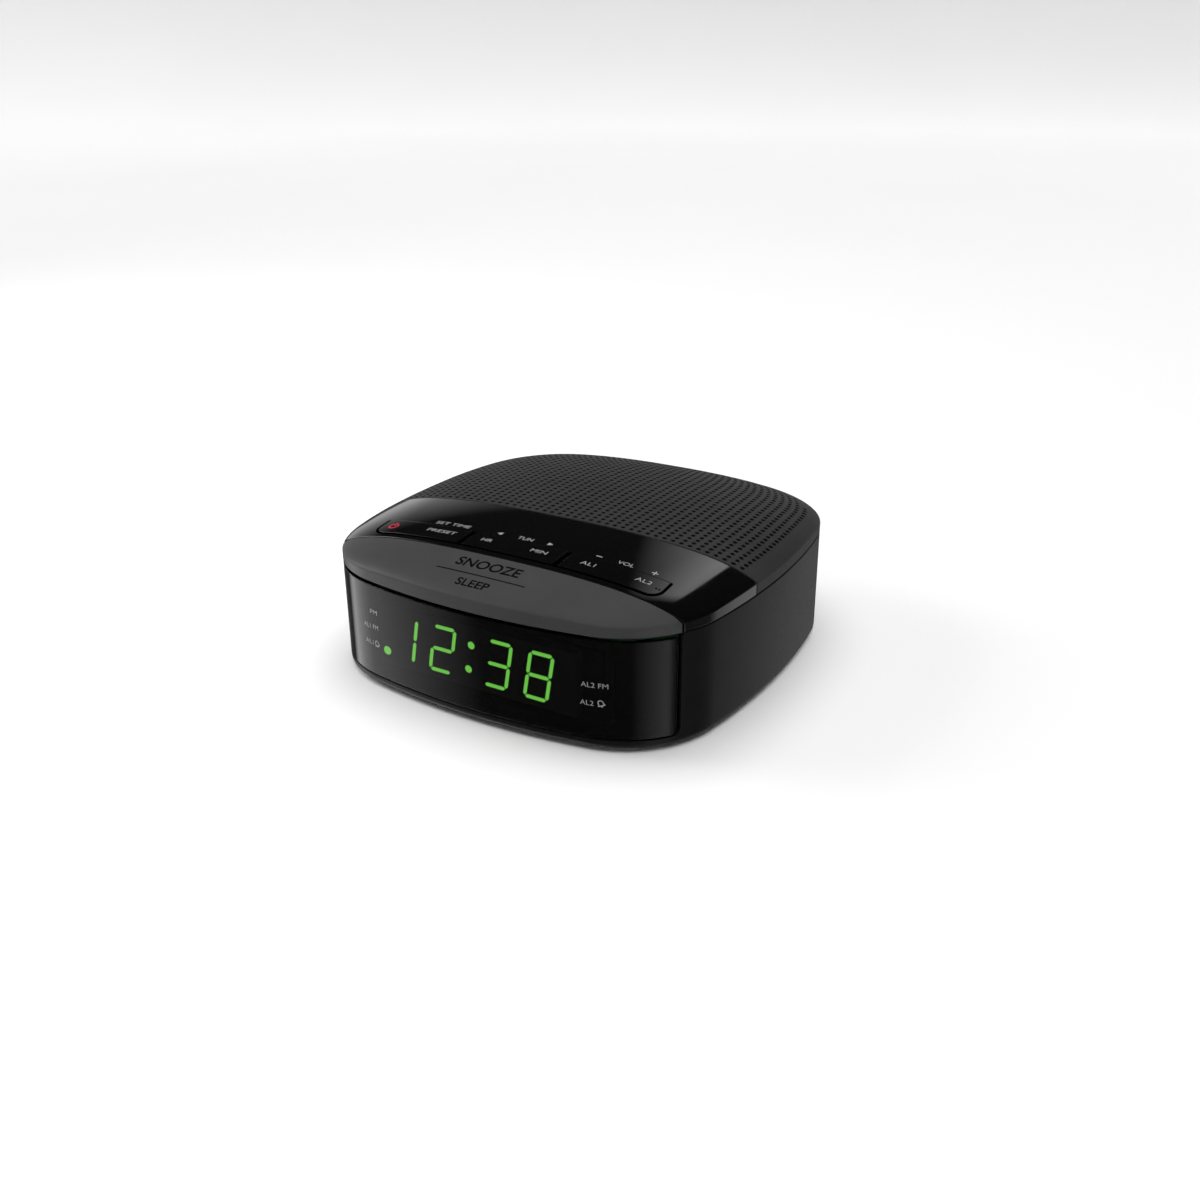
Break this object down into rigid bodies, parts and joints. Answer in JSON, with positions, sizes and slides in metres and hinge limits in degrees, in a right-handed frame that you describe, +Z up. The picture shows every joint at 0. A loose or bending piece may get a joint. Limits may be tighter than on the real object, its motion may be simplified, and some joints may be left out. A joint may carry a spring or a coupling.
{
  "type": "clock radio",
  "caption": "Compact bedside clock radio: rounded-square case, perforated top over the speaker, glossy band with rocker keys, sprung snooze bar and smoked lens with green digits",
  "frame": {"origin": "on the resting surface, under the middle of the case", "axes": "+X to the right seen from the front, +Y to the back, +Z up"},
  "size_m": [0.132, 0.1306, 0.0465],
  "materials": {
    "base_plastic": "satin dark moulding, fine spark texture",
    "cover_plastic": "matte grey moulding, fine texture",
    "gloss_black": "polished black moulding",
    "snooze_plastic": "matte grey moulding, fine texture",
    "smoked_lens": "smoked clear plastic, polished",
    "display_face": "dark grey moulded reflector face",
    "lit_green": "translucent light guide, lit green",
    "mask_black": "black card-like sheet",
    "circuit_board": "green solder resist on laminate",
    "ribbon_film": "flat flexible ribbon, satin",
    "frame_plastic": "black moulded key frame",
    "switch_black": "black moulded switch body",
    "capacitor_sleeve": "dark blue shrink sleeve",
    "can_metal": "tinned shielding cans",
    "steel": "zinc-plated steel",
    "basket_steel": "plated pressed steel",
    "magnet_black": "sintered ferrite with a dark coat",
    "cone_paper": "black pressed paper",
    "foam_black": "black closed-cell foam ring",
    "core_steel": "varnished laminations",
    "coil_tape": "yellow insulating tape over the winding",
    "cell_sleeve": "plain blue cell sleeve",
    "rubber_black": "black rubber"
  },
  "bodies": {
    "case": {"base_shell": "base_plastic", "top_cover": "cover_plastic", "control_panel": "gloss_black", "front_lens": "smoked_lens", "display_housing": "display_face", "digit_segments": "lit_green", "status_lamps": "lit_green", "light_mask": "mask_black", "display_board": "circuit_board", "key_board": "circuit_board", "main_board": "circuit_board", "display_ribbon": "ribbon_film", "key_frame": "frame_plastic", "tact_switches": "switch_black", "tuner_chips": "switch_black", "board_capacitors": "capacitor_sleeve", "tuning_coils": "can_metal", "key_pins": "steel", "snooze_springs": "steel", "case_screws": "steel", "board_screws": "steel", "frame_screws": "steel", "bracket_screws": "steel", "transformer_bracket": "steel", "battery_contacts": "steel", "speaker_basket": "basket_steel", "speaker_magnet": "magnet_black", "speaker_cone": "cone_paper", "speaker_seal": "foam_black", "transformer_core": "core_steel", "transformer_coil": "coil_tape", "backup_cells": "cell_sleeve", "rubber_feet": "rubber_black", "cord_inlet": "rubber_black", "antenna_inlet": "rubber_black"},
    "snooze": {"snooze_bar": "snooze_plastic"},
    "power_rocker": {"power_key": "gloss_black"},
    "tuning_rocker": {"tuning_key": "gloss_black"},
    "volume_rocker": {"volume_key": "gloss_black"},
    "door": {"battery_door": "base_plastic"}
  },
  "joints": [
    {"name": "snooze_press", "type": "slide", "parent": "case", "child": "snooze", "axis": [0, 0, -1], "range_m": [0, 0.0008], "stiffness_N_per_m": 300, "springref_m": -0.002, "deforming": ["snooze_springs"]},
    {"name": "power_rock", "type": "hinge", "parent": "case", "child": "power_rocker", "pos_m": [-0.0333, -0.03985, 0.0374], "axis": [0, 1, 0], "range_deg": [-1.5, 1.5], "stiffness_Nm_per_rad": 0.3},
    {"name": "tuning_rock", "type": "hinge", "parent": "case", "child": "tuning_rocker", "pos_m": [0, -0.03985, 0.0374], "axis": [0, 1, 0], "range_deg": [-1.5, 1.5], "stiffness_Nm_per_rad": 0.3},
    {"name": "volume_rock", "type": "hinge", "parent": "case", "child": "volume_rocker", "pos_m": [0.0333, -0.03985, 0.0374], "axis": [0, 1, 0], "range_deg": [-1.5, 1.5], "stiffness_Nm_per_rad": 0.3},
    {"name": "door_slide", "type": "slide", "parent": "case", "child": "door", "axis": [1, 0, 0], "range_m": [0, 0.008]}
  ]
}
